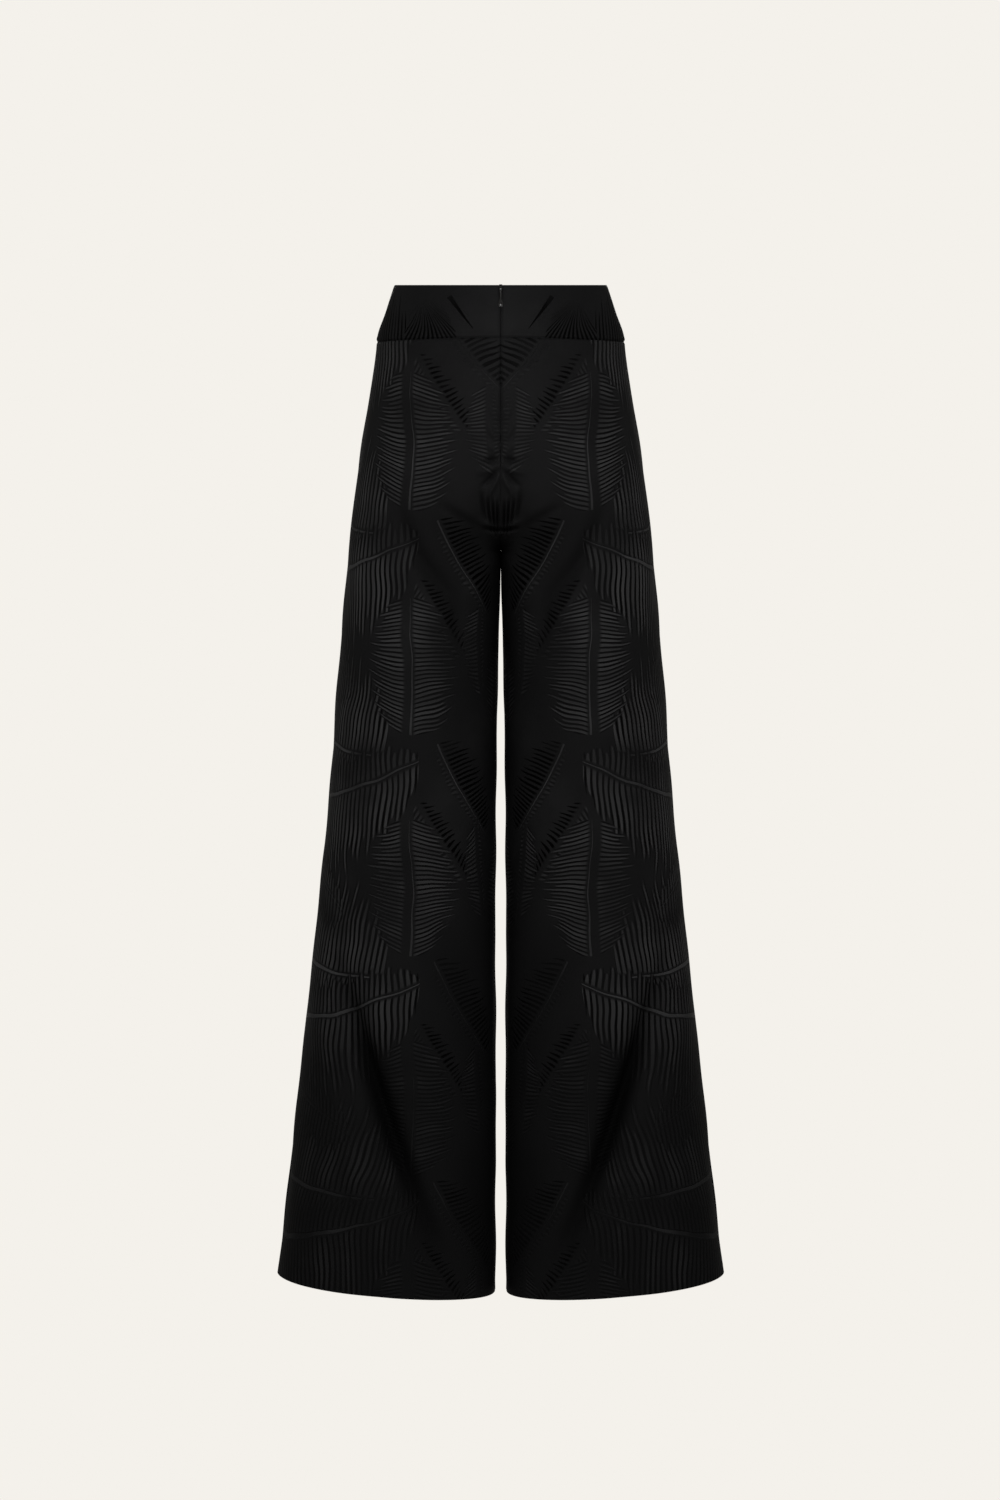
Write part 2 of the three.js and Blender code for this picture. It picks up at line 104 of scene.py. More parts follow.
# Small creases beside the centre seam: face, distance from the seam and height at each end, half width, depth
CREASES = (
    (BACK, -30.0, -272, 30.0, -266, 2.6, -7.0),
    (BACK, -30.0, -282, 34.0, -256, 4.5, 3.4),
    (BACK, 4.0, -232, 4.5, -280, 1.8, -6.0),
    (BACK, 9.5, -230, 9.0, -278, 1.9, -6.5),
    (BACK, 15.5, -226, 14.0, -274, 2.1, -5.5),
    (BACK, 22.0, -220, 20.0, -262, 2.8, -4.0),
    (BACK, 6.8, -230, 7.0, -274, 1.6, 2.6),
    (BACK, 12.5, -226, 11.8, -270, 1.7, 2.6),
    (BACK, 19.0, -220, 17.5, -262, 2.0, 2.0),
    (BACK, 1.0, -188, 20.0, -193, 2.8, -4.6),
    (BACK, 1.0, -197, 27.0, -206, 3.2, 3.2),
    (BACK, 1.0, -200, 24.0, -222, 2.8, -3.6),
    (BACK, 1.0, -207, 18.0, -236, 2.6, 3.0),
    (BACK, 2.0, -150, 12.0, -132, 3.4, 1.2),
    (BACK, 1.0, -172, 16.0, -150, 3.0, 1.4),
    (BACK, 1.0, -182, 22.0, -170, 3.0, 1.4),
    (BACK, 28.0, -268, 70.0, -236, 6.0, -2.4),
    (FRONT, 2.0, -236, 46.0, -220, 4.0, -2.6),
    (FRONT, 2.0, -250, 56.0, -244, 4.5, -3.0),
    (FRONT, 2.0, -264, 50.0, -270, 4.0, -2.6),
    (FRONT, 3.0, -243, 50.0, -232, 4.0, 2.0),
    (FRONT, 3.0, -257, 54.0, -257, 4.0, 2.0),
    (FRONT, 1.0, -150, 20.0, -164, 4.0, 1.2),
)

# Narrow cores of the longest folds, as in FOLDS
CORES = (
    (BACK, 0.25, -735, 0.68, -1085, 10, -12),
    (BACK, 0.20, -800, 0.56, -1150, 14, 3.5),
    (BACK, 0.56, -215, 0.70, -430, 8, -3),
    (FRONT, 0.30, -640, 0.60, -1150, 10, -10),
    (FRONT, 0.50, -300, 0.40, -760, 10, -4),
)


def smooth(start, end, value):
    """A share from 0 to 1 that eases in and out as value goes from start to end."""
    t = np.clip((value - start) / (end - start), 0.0, 1.0)
    return t * t * (3.0 - 2.0 * t)


def mix(a, b, share):
    return a + (b - a) * share


def column(index):
    """One column of the sections as a function of height: cubic pieces whose slopes never overshoot a row."""
    at, value = SECTIONS[:, 0], SECTIONS[:, index]
    slope = np.diff(value) / np.diff(at)
    product = slope[:-1] * slope[1:]
    total = np.where(product > 0, slope[:-1] + slope[1:], 1.0)
    tangent = np.concatenate([slope[:1], np.where(product > 0, 2 * product / total, 0.0), slope[-1:]])

    def curve(z):
        i = np.clip(np.searchsorted(-at, -z, side="right") - 1, 0, len(at) - 2)
        step = at[i + 1] - at[i]
        t = np.clip((z - at[i]) / step, 0.0, 1.0)
        rise = 3 * t**2 - 2 * t**3
        bend = tangent[i] * (t - 2 * t**2 + t**3) + tangent[i + 1] * (t**3 - t**2)
        return value[i] * (1 - rise) + value[i + 1] * rise + step * bend

    return curve


side_at, back_at, front_at, full_at, gap_at = (column(i) for i in range(1, 6))


def panel_width(z):
    return SPREAD * side_at(z)


def leg_gap(z):
    """Half the space between the legs. They press together just below the crotch, and part slowly."""
    pressed = 0.35 * smooth(CROTCH_Z, CROTCH_Z - 6, z) * smooth(CROTCH_Z - 28, CROTCH_Z - 12, z)
    return gap_at(z) * smooth(CROTCH_Z - 5, CROTCH_Z - 95, z) - pressed


def leg_share(face, across, z):
    """How far a section has gone from a torso's quarter outline, 0, to a leg's half ring, 1."""
    away = 1.0 - across
    to_side = smooth(0.0, 0.8, away)
    top = mix(CROTCH_TOP, SPLIT_TOP, to_side)
    foot = mix(CROTCH_Z, SPLIT_FOOT, to_side)
    down = np.clip((top - z) / (top - foot), 0.0, 1.0)
    ease = smooth(0.0, CREASE_WIDTH, away)
    return 1.0 - (1.0 - down ** mix(2 * CROTCH_SHAPE[face], 3.0, ease)) ** mix(0.5, 1.6, ease)


def outline(face, across, z, centre):
    """x and y of the left half's outline at height z, from the side seam, across 0, to the centre seam, 1.
    The torso's quarter is an ellipse made fuller at 45 degrees, and the leg's half ring is one from side to
    inseam."""
    side = side_at(z)
    depth = (back_at if face > 0 else front_at)(z)
    quarter = across * math.pi / 2
    fuller = 1.0 + full_at(z) * np.sin(2 * quarter) ** 2
    torso_x = centre + (side - centre) * np.cos(quarter) * fuller
    torso_y = face * depth * np.sin(quarter) * fuller
    half = across * math.pi
    inner = centre + leg_gap(z)
    ring = 1.0 + LEG_FULLNESS * np.sin(2 * half) ** 2
    leg_x = (side + inner) / 2 + (side - inner) / 2 * np.cos(half) * ring
    leg_y = face * depth * np.sin(half) * ring + INSEAM_Y * (1 - np.cos(half)) / 2
    share = leg_share(face, across, z)
    return mix(torso_x, leg_x, share), mix(torso_y, leg_y, share)


def trough(along, away, half_width, depth):
    """A soft valley or ridge: a bell across it, and a sine arch along it from 0 to 1."""
    bell = np.exp(-((away / half_width) ** 2))
    return depth * bell * np.sin(math.pi * np.clip(along, 0, 1))


def fold_offset(face, across, z):
    """How far the folds move the cloth out, in millimetres, fading beside the seams."""
    width = panel_width(z)
    fade = smooth(0.0, 0.1, across) * smooth(1.0, 0.9, across)
    total = np.zeros_like(z)
    for of_face, top, z_top, foot, z_foot, half_width, depth in FOLDS + CORES:
        if of_face == face:
            down = (z_top - z) / (z_top - z_foot)
            total += trough(down, (across - mix(top, foot, down)) * width, half_width, depth)
    return total * fade


def crease_offset(face, across, z):
    """The small creases, and the satin's faint unevenness: products of long waves whose lengths never line
    up, and finer ones beside the two seams."""
    width = panel_width(z)
    near = (1.0 - across) * width
    total = np.zeros_like(z)
    for of_face, d_top, z_top, d_foot, z_foot, half_width, depth in CREASES:
        if of_face == face:
            run = math.hypot(d_foot - d_top, z_foot - z_top)
            ahead = ((d_foot - d_top) / run, (z_foot - z_top) / run)
            along = ((near - d_top) * ahead[0] + (z - z_top) * ahead[1]) / run
            away = (near - d_top) * ahead[1] - (z - z_top) * ahead[0]
            total += trough(along, away, half_width, depth)
    s = across * width
    waves = 0.7 * np.sin(z / 47 + s / 31 + face) * np.sin(s / 43 + z / 160 + 1.3)
    waves += 0.5 * np.sin(z / 29 - s / 57 + 2.1 * face) * np.sin(z / 210 + 0.4)
    waves += 0.35 * np.sin(z / 13.7 + s / 83) * np.exp(-((near / 26) ** 2))
    waves += 0.35 * np.sin(z / 15.1 + 0.7) * np.exp(-((s / 22) ** 2))
    return total + waves * smooth(-60, -110, z)


def waist_seam(face, across):
    """The height of the waist seam, which rises from the side seam to the centre."""
    return -BAND_DEPTH + BAND_RISE[face] * smooth(0.0, 1.0, across)


def panel_height(face, across, row):
    """The height of a leg panel's point whose row has this nominal height: its top follows the waist seam,
    and its hem is higher at the outseam than at the inseam."""
    top = waist_seam(face, across) + BAND_DEPTH
    lift = HEM_LIFT * np.cos(across * math.pi) * np.clip((row - CROTCH_Z) / (HEM_Z - CROTCH_Z), 0, None) ** 2
    return row + top * smooth(CROTCH_TOP, -BAND_DEPTH, row) + np.where(row < CROTCH_Z, lift, 0.0)


def centre_wall(z):
    """The thickness of the cloth beside the zip: the waistband's, easing to the panel's below it."""
    return mix(SATIN, BAND_WALL, smooth(-78, -58, z))


def centre_half(face, z):
    """Half the space at the centre seam: sewn shut, or open for the zip at the back."""
    if face == FRONT:
        return np.full_like(z, SEWN)
    slit = mix(0.3, 0.85, smooth(-16, -9, z))
    return mix(SEWN, slit, smooth(SHUT_Z, ZIP_FOOT, z))


def cloth(face, across, z, centre, extra=0.0):
    """Points of the cloth's outer face: the outline moved out level by the folds. Nothing moves the centre
    seam sideways where the legs are joined, nor their inner faces just below, where they nearly touch."""
    x, y = outline(face, across, z, centre)
    ahead = outline(face, np.minimum(across + 0.004, 1), z, centre)
    behind = outline(face, np.maximum(across - 0.004, 0), z, centre)
    dx, dy = ahead[0] - behind[0], ahead[1] - behind[1]
    size = np.hypot(dx, dy)
    out = fold_offset(face, across, z) + crease_offset(face, across, z) + extra
    near = (1.0 - across) * panel_width(z)
    reach = mix(18.0, 5.0, smooth(CROTCH_Z - 40, CROTCH_Z, z))
    held = np.exp(-((near / reach) ** 2)) * smooth(CROTCH_Z - 160, CROTCH_Z - 60, z)
    return np.stack([x + face * dy / size * out * (1 - held), y - face * dx / size * out, z], axis=-1)


def directions(points, face):
    """Unit directions out of a grid of points, from the differences between neighbouring rows and columns."""
    across = np.gradient(points, axis=1)
    down = np.gradient(points, axis=0)
    out = face * np.cross(down, across)
    return out / np.maximum(np.linalg.norm(out, axis=-1, keepdims=True), 1e-9)


def shares(count, power=1.5):
    """Columns of a panel from the side seam, 0, to the centre seam, 1: closer together towards the centre,
    and a few very close to each seam for its rolled edge."""
    even = 1.0 - (1.0 - np.linspace(0.0, 1.0, count)) ** power
    edge = np.array([0.0, 0.0016, 0.0035, 0.006, 0.010])
    middle = even[(even > 0.014) & (even < 0.986)]
    return np.concatenate([edge, middle, 1.0 - edge[::-1]])


def mesh_object(name, points, faces, uv=None, valley=None):
    """A smooth mesh from millimetre points and faces, with a UV map in metres, and how deep in a fold each
    point is, which sets how much painted fold shade the satin's colour gets there."""
    mesh = bpy.data.meshes.new(name)
    mesh.from_pydata((points * 0.001).tolist(), [], faces.tolist())
    mesh.update()
    mesh.polygons.foreach_set("use_smooth", np.ones(len(mesh.polygons), bool))
    if uv is not None:
        corner = np.empty(len(mesh.loops), np.int32)
        mesh.loops.foreach_get("vertex_index", corner)
        layer = mesh.uv_layers.new(name="weave")
        layer.data.foreach_set("uv", uv[corner].astype(np.float32).ravel())
    # painted shade: the valley attribute holds how deep a point lies in a fold, and it darkens the satin's
    # colour there
    if valley is not None:
        mesh.attributes.new("valley", "FLOAT", "POINT").data.foreach_set("value", valley.astype(np.float32))
    thing = bpy.data.objects.new(name, mesh)
    bpy.context.scene.collection.objects.link(thing)
    return thing


def quads(rows, columns, offset=0, flip=False):
    """Faces of a grid of rows and columns of points."""
    i, j = np.meshgrid(np.arange(rows - 1), np.arange(columns - 1), indexing="ij")
    a = (offset + i * columns + j).ravel()
    b, c, d = a + columns, a + columns + 1, a + 1
    return np.stack([a, d, c, b] if flip else [a, b, c, d], axis=1)


def rim(one, other):
    """Faces between two lines of as many points."""
    return np.stack([one[:-1], other[:-1], other[1:], one[1:]], axis=1)


def border_of(rows, columns):
    """Ids of the points around a grid, in one turn, and of the point just inside each."""
    ids = np.arange(rows * columns).reshape(rows, columns)
    around = np.concatenate([ids[0, :-1], ids[:-1, -1], ids[-1, :0:-1], ids[:0:-1, 0]])
    row = np.clip(around // columns, 1, rows - 2)
    column_of = np.clip(around % columns, 1, columns - 2)
    return around, ids[row, column_of]


def rim_line(outer, inner, out, thickness, around, within):
    """The middle line of a sheet's rim: halfway between its faces, and moved away from the sheet, so that the
    edge is rounded."""
    flat_outer, flat_inner = outer.reshape(-1, 3), inner.reshape(-1, 3)
    line = (flat_outer[around] + flat_inner[around]) / 2
    along = np.roll(line, -1, axis=0) - np.roll(line, 1, axis=0)
    side = np.cross(along, out.reshape(-1, 3)[around])
    side /= np.maximum(np.linalg.norm(side, axis=1, keepdims=True), 1e-9)
    side *= np.sign(np.einsum("ij,ij->i", side, flat_outer[around] - flat_outer[within]))[:, None]
    return line + side * thickness.reshape(-1)[around, None] * RIM_BULGE


def sheet_object(name, outer, thickness, face, mirror, uv, meet=None, valley=None):
    """A closed sheet: an outer grid, the same grid moved in by the thickness of its row, and rims between
    them with a rounded middle line. meet moves the middle line of sewn edges onto their seam."""
    out = directions(outer, face)
    inner = outer - out * thickness[..., None]
    rows, columns = outer.shape[:2]
    size = rows * columns
    around, within = border_of(rows, columns)
    line = rim_line(outer, inner, out, thickness, around, within)
    if meet:
        line = meet(line, around // columns, around % columns)
    points = np.concatenate([outer.reshape(-1, 3), inner.reshape(-1, 3), line])
    closed = np.append(around, around[0])
    closed_line = 2 * size + np.append(np.arange(len(around)), 0)
    faces = np.concatenate([
        quads(rows, columns),
        quads(rows, columns, size, flip=True),
        rim(closed, closed_line),
        rim(closed_line, closed + size),
    ])
    if mirror:
        points = points * MIRROR
    if (face > 0) != mirror:
        faces = faces[:, ::-1]
    uv = uv.reshape(-1, 2)
    # painted shade: only the outer face's points get their depth in the folds, which darkens the satin's
    # colour there
    deep = np.zeros(len(points))
    if valley is not None:
        deep[:size] = valley.reshape(-1)
    return mesh_object(name, points, faces, np.concatenate([uv, uv, uv[around]]), deep)


def weave_uv(points):
    """The cloth's own coordinates: metres across from the grain line, which is found by linear steps between
    columns, and metres of height."""
    step = np.linalg.norm(np.diff(points[..., :2], axis=1), axis=-1)
    length = np.concatenate([np.zeros((len(points), 1)), np.cumsum(step, axis=1)], axis=1)
    row, x = np.arange(len(points)), points[..., 0]
    after = np.argmax(x < GRAIN, axis=1)
    share = (x[row, after - 1] - GRAIN) / (x[row, after - 1] - x[row, after])
    line = mix(length[row, after - 1], length[row, after], share)
    return np.stack([length - line[:, None], points[..., 2]], axis=-1) * 0.001


def roll(distance, depth, reach):
    """How far a sewn edge turns in, at a distance from it."""
    return -depth * np.exp(-((distance / reach) ** 2))


def sewn_shares(across, z):
    """Shares with the room for the rims taken off at the side seam, and below the crotch at the inseam."""
    room = SEWN / panel_width(z)
    return room + across * (1 - room - room * smooth(-290, -300, z))


def panel_rows():
    """Nominal heights of a panel's rows, closer at the waist seam, at the crotch and at the hem."""
    edge = np.array([SEWN, 0.5, 1.2, 2.2, 3.6])
    seat = np.linspace(-BAND_DEPTH - 5.5, CROTCH_TOP, 62)
    turn = CROTCH_TOP + (CROTCH_Z - CROTCH_TOP) * np.sin(np.linspace(0, math.pi / 2, 74))[1:]
    fold = HEM_Z + HEM_DEPTH
    leg = CROTCH_Z + (fold + 0.6 - CROTCH_Z) * np.linspace(0, 1, 150)[1:] ** 1.2
    hem = np.linspace(fold, HEM_Z + 1.2, 7)
    return np.concatenate([-BAND_DEPTH - edge, seat, turn, leg, hem, [HEM_Z + 0.5, HEM_Z]])


def panel_meet(face, across):
    """Moves a panel's rim onto the seams around it."""
    last_column = across.shape[1] - 1

    def move(ring, row, col):
        z = ring[:, 2]
        ring[:, 1] = np.where(col == 0, -face * MEET, ring[:, 1])
        joined = (col == last_column) & (z > CROTCH_Z) & ((z < SHUT_Z) | (face == FRONT))
        ring[:, 0] = np.where(joined, -MEET, ring[:, 0])
        ring[:, 1] = np.where((col == last_column) & (z < CROTCH_Z), INSEAM_Y - face * MEET, ring[:, 1])
        ring[:, 2] = np.where(row == 0, waist_seam(face, across[0, col]) + MEET, z)
        return ring
    return move


def band_meet(face, across, last_side=0):
    """Moves a waistband's rim onto the waist seam, and onto the side seam at column 0 and at last_side."""
    last_row = len(across) - 1

    def move(ring, row, col):
        ring[:, 1] = np.where((col == 0) | (col == last_side), -face * MEET, ring[:, 1])
        ring[:, 2] = np.where(row == last_row, waist_seam(face, across[0, col]) - MEET, ring[:, 2])
        return ring
    return move


def leg_panel(name, face, mirror):
    """A leg panel: rows from the waist seam to the hem, columns from the side seam to the centre seam or the
    inseam. Its edges turn in, and it is double where the hem is turned up."""
    across, row = np.meshgrid(shares(112, 1.6), panel_rows())
    z = panel_height(face, across, row)
    width = panel_width(z)
    across = sewn_shares(across, z)
    edges = roll(across * width, 1.0, 1.8) + roll((1 - across) * width, 1.0, 1.8)
    edges += roll(waist_seam(face, across) - z, 1.0, 1.6)
    points = cloth(face, across, z, centre_half(face, z), edges)
    thickness = np.where(row <= HEM_Z + HEM_DEPTH, 2 * SATIN, SATIN)
    uv = weave_uv(points) + (FRONT_SHIFT if face == FRONT else 0.0)
    # painted shade: how deep each point lies in the folds and creases, for darkening the satin's colour there
    folds = -fold_offset(face, across, z) / 16 - crease_offset(face, across, z) / 6
    meet = panel_meet(face, across)
    return sheet_object(name, points, thickness, face, mirror, uv, meet, np.clip(folds, 0, 1)), points


def band_half(face, centre_zero=False):
    """The outer points of half the waistband, with a pressed ridge along its lower seam."""
    low = [0.93, 0.955, 0.972, 0.985, 0.993, 1.0]
    deep = np.concatenate([[0.0, 0.006, 0.018], np.linspace(0.04, 0.9, 22), low])
    across, down = np.meshgrid(shares(84), deep)
    z = down * (waist_seam(face, across) + SEWN)
    width = panel_width(z)
    across = sewn_shares(across, z)
    seam, ridge_at = z - waist_seam(face, across), 3.2
    edges = roll(across * width, 0.9, 1.8) + roll(seam, 0.9, 1.4) - roll(seam - ridge_at, 0.45, 2.2)
    edges += roll(-z, 0.5, 0.9)
    centre = np.zeros_like(z) if centre_zero else centre_half(face, z)
    if not centre_zero:
        edges += roll((1 - across) * width, 0.9, 1.8)
    waves = 0.35 * np.sin(across * 19 + z / 30) * np.sin(across * 11 + 1) * np.sin(math.pi * down)
    return cloth(face, across, z, centre, edges + waves), across


def waistband(name, face, mirror):
    """Half the waistband, from the side seam to the zip."""
    points, across = band_half(face)
    uv = weave_uv(points)
    thickness = np.full(across.shape, BAND_WALL)
    meet = band_meet(face, across)
    return sheet_object(name, points, thickness, face, mirror, uv, meet), points


def waistband_whole(name, face):
    """The front of the waistband: one piece from side seam to side seam."""
    half, across = band_half(face, centre_zero=True)
    half[:, -1, 0] = 0.0
    other = half[:, -2::-1] * MIRROR
    points = np.concatenate([half, other], axis=1)
    uv = weave_uv(half)
    uv = np.concatenate([uv, uv[:, -2::-1]], axis=1)
    thickness = np.full(points.shape[:2], BAND_WALL)
    shares_all = np.concatenate([across, across[:, -2::-1]], axis=1)
    meet = band_meet(face, shares_all, points.shape[1] - 1)
    return sheet_object(name, points, thickness, face, False, uv, meet), points


def zip_tape(name, mirror):
    """A tape behind the centre-back edge: a strip that follows the cloth's inner face."""
    x, z = np.meshgrid(np.linspace(0.0, TAPE_WIDTH, 9), TAPE_ROWS)
    centre = centre_half(BACK, z) + 0.05
    across = 1.0 - x / (QUARTER * side_at(z))
    points = cloth(BACK, across, z, centre, -centre_wall(z) - TAPE_WALL)
    points[..., 0] = centre + x
    thickness = np.full(z.shape, TAPE_WALL)
    uv = np.stack([x, z], axis=-1) * 0.001
    return sheet_object(name, points, thickness, BACK, mirror, uv), points


def coil(name, mirror):
    """A nylon coil along a tape's edge: a tube swept on a flattened helix, one turn every 1.3 mm, as one
    grid. The other side's coil is half a turn lower, so the two interlock."""
    turns, per_turn, ring, half_turn = 148, 10, 6, 0.645
    wide, deep, wire, behind = 1.3, 0.5, 0.3, 1.9
    t = np.linspace(0.0, 1.0, turns * per_turn + 1)
    z = mix(-2.0, ZIP_FOOT, t) - (half_turn if mirror else 0.0)
    spin = t * turns * 2 * math.pi
    base = cloth(BACK, np.ones_like(z), z, np.zeros_like(z))
    y = base[:, 1] - centre_wall(z) - behind
    apart = 1.2 + np.maximum(centre_half(BACK, z) - 0.3, 0)
    line = np.stack([apart + wide * np.cos(spin), y + deep * np.sin(spin), z], axis=1)
    ahead = np.gradient(line, axis=0)
    ahead /= np.linalg.norm(ahead, axis=1, keepdims=True)
    across = np.cross(ahead, np.array([0.0, 0.0, 1.0]))
    across /= np.linalg.norm(across, axis=1, keepdims=True)
    up = np.cross(across, ahead)
    turn = (np.arange(ring) * 2 * math.pi / ring)[None, :, None]
    points = line[:, None] + wire * (np.cos(turn) * across[:, None] + np.sin(turn) * up[:, None])
    i, j = np.meshgrid(np.arange(len(t) - 1), np.arange(ring), indexing="ij")
    a, b = i * ring + j, i * ring + (j + 1) % ring
    faces = np.stack([a, b, b + ring, a + ring], axis=-1).reshape(-1, 4)
    points = points.reshape(-1, 3)
    if mirror:
        return mesh_object(name, points * MIRROR, faces)
    return mesh_object(name, points, faces[:, ::-1])


# Materials


class Nodes:
    """Short calls for building a node tree."""

    def __init__(self, tree):
        self.tree = tree

    def add(self, kind, **settings):
        node = self.tree.nodes.new(kind)
        for key, value in settings.items():
            setattr(node, key, value)
        return node

    def put(self, socket, value):
        if isinstance(value, bpy.types.NodeSocket):
            self.tree.links.new(value, socket)
        else:
            socket.default_value = value

    def math(self, operation, *values, clamp=False):
        node = self.add("ShaderNodeMath", operation=operation, use_clamp=clamp)
        for i, value in enumerate(values):
            self.put(node.inputs[i], value)
        return node.outputs[0]

    def product(self, first, *others):
        for other in others:
            first = self.math("MULTIPLY", first, other)
        return first

    def spread(self, value, low, high, to_low=0.0, to_high=1.0, smoothed=False):
        """Takes a value between low and high to one between to_low and to_high, evenly or easing in and
        out."""
        kind = "SMOOTHSTEP" if smoothed else "LINEAR"
        node = self.add("ShaderNodeMapRange", interpolation_type=kind, clamp=True)
        for socket, given in zip(("Value", "From Min", "From Max", "To Min", "To Max"),
                                 (value, low, high, to_low, to_high)):
            self.put(node.inputs[socket], given)
        return node.outputs[0]

    def ease(self, start, end, value):
        return self.spread(value, start, end, smoothed=True)

    def blend(self, a, b, share, kind="FLOAT"):
        node = self.add("ShaderNodeMix", data_type=kind)
        first = 2 if kind == "FLOAT" else 6
        self.put(node.inputs[0], share)
        self.put(node.inputs[first], a)
        self.put(node.inputs[first + 1], b)
        return node.outputs[0 if kind == "FLOAT" else 2]

    def noise(self, place, scale, detail, flat=True):
        node = self.add("ShaderNodeTexNoise", noise_dimensions="2D" if flat else "3D")
        self.put(node.inputs["Vector"], place)
        self.put(node.inputs["Scale"], scale)
        self.put(node.inputs["Detail"], detail)
        return node.outputs[0]

    def separate(self, vector):
        node = self.add("ShaderNodeSeparateXYZ")
        self.put(node.inputs[0], vector)
        return node.outputs[0], node.outputs[1], node.outputs[2]

    def ramp(self, value, *colours):
        """A colour that goes evenly through the given ones as the value goes from 0 to 1."""
        node = self.add("ShaderNodeValToRGB")
        stops = node.color_ramp.elements
        for place in np.linspace(0, 1, len(colours))[1:-1]:
            stops.new(float(place))
        for stop, colour in zip(stops, colours):
            stop.color = (*colour, 1)
        self.put(node.inputs[0], value)
        return node.outputs[0]

    def bump(self, height, strength, distance):
        node = self.add("ShaderNodeBump")
        self.put(node.inputs["Strength"], strength)
        self.put(node.inputs["Distance"], distance)
        self.put(node.inputs["Height"], height)
        return node.outputs[0]


def new_material(name):
    """A material, the calls that build its nodes, and its shader."""
    made = bpy.data.materials.new(name)
    made.use_nodes = True
    return made, Nodes(made.node_tree), made.node_tree.nodes["Principled BSDF"]


REPEAT = 0.246  # height of the pattern's repeat
STRAY = 0.012  # how far the pattern strays from its chart, half of it to either side
TOP_FADE = (-0.125, -0.085)  # heights between which the pattern reaches its strength at the top
LOW_FADE, LOW_STRENGTH = (-0.72, -0.92), 0.45  # where it fades on the lower leg, and to what
# painted shade: between these heights the satin's colour gets darker down the lower leg, towards the hem
HEM_PAINTED_SHADE = (-0.66, -0.95)  # heights between which the satin gets darker
GROUND = 0.0076  # the plain satin's grey
# painted shade: the near black that the satin's colour goes to deep in the folds
FOLD_PAINTED_SHADE = (0.0006, 0.0006, 0.0006)
FRONT_SHIFT = np.array([0.0, 0.11])  # how much lower the pattern lies at the front

FROND_INPUTS = ("Across", "Up", "Root across", "Root up", "Turn", "Bow", "Length", "Width near", "Width far",
                "Bare", "Pitch", "Fan", "Tone near", "Tone far", "Rib", "Rib width")


def frond_place(n, given):
    """A point's distance along a frond's bowed midrib, and its signed distance from it. The height
    repeats."""
    m = n.math
    cos, sin = m("COSINE", given["Turn"]), m("SINE", given["Turn"])
    dx = m("SUBTRACT", given["Across"], given["Root across"])
    middle = m("SUBTRACT", n.product(given["Length"], 0.5, cos), REPEAT / 2)
    lifted = m("SUBTRACT", m("SUBTRACT", given["Up"], given["Root up"]), middle)
    dy = m("ADD", m("FLOORED_MODULO", lifted, REPEAT), middle)
    a = m("ADD", m("MULTIPLY", dx, sin), m("MULTIPLY", dy, cos))
    b = m("SUBTRACT", m("MULTIPLY", dx, cos), m("MULTIPLY", dy, sin))
    return a, m("SUBTRACT", b, n.product(given["Bow"], a, a))


def varied(n, number, middle, swing, step):
    """A factor that goes up and down from leaflet to leaflet, with a sine of the leaflet's number times
    step."""
    return n.math("ADD", middle, n.math("MULTIPLY", swing, n.math("SINE", n.math("MULTIPLY", number, step))))


def leaflet_beat(n, given, a, r):
    """A number that goes up by one from each leaflet to the next. A point at distance r from the midrib, a
    along it, is on the leaflet that starts at (a - Fan (r + 5 r^2)) / (1 - 2 Fan r / Length)."""
    m = n.math
    bent = m("ADD", r, n.product(r, r, 5.0))
    squeeze = m("SUBTRACT", 1.0, m("DIVIDE", n.product(given["Fan"], r, 2.0), given["Length"]))
    start = m("DIVIDE", m("SUBTRACT", a, m("MULTIPLY", given["Fan"], bent)), m("MAXIMUM", squeeze, 0.2))
    return m("DIVIDE", start, given["Pitch"])


def leaflet_reach(n, given, r, far, arch, number):
    """How far out a point is, from 0 at the midrib to 1 at its leaflet's tip, and how much of it is
    leaflet. The tips make an arch, a little uneven."""
    m = n.math
    width = n.blend(given["Width near"], given["Width far"], far)
    reach = n.product(width, m("POWER", arch, 0.4), varied(n, number, 0.86, 0.14, 2.399))
    out = m("DIVIDE", r, m("MAXIMUM", reach, 0.0005))
    bare = m("MULTIPLY", given["Bare"], m("SUBTRACT", 1.0, far))
    tip = m("SUBTRACT", 1.0, n.ease(0.82, 1.0, out))
    return out, n.product(tip, n.ease(bare, m("ADD", bare, 0.006), r), m("GREATER_THAN", arch, 0.0))


def leaflet_tone(n, given, far, beat, number, out):
    """A leaflet's blade, which narrows to its tip, and its tone. A light one has dark gaps beside it, and a
    dark one is narrower."""
    m = n.math
    tone = n.blend(given["Tone near"], given["Tone far"], far)
    wave = m("COSINE", m("MULTIPLY", beat, 2 * math.pi))
    taper = n.blend(-0.75, 0.55, m("POWER", out, 2.0, clamp=True))
    taper = m("ADD", taper, m("MULTIPLY", 0.4, m("LESS_THAN", tone, 0.0)))
    blade = n.ease(taper, m("ADD", taper, 0.75), wave)
    gap = n.ease(-0.2, -1.0, wave)
    tone = m("MULTIPLY", tone, varied(n, number, 0.8, 0.2, 5.13))
    depth = m("MULTIPLY", m("MAXIMUM", tone, 0.0), 1.3)
    return blade, m("SUBTRACT", m("MULTIPLY", blade, tone), m("MULTIPLY", gap, depth))


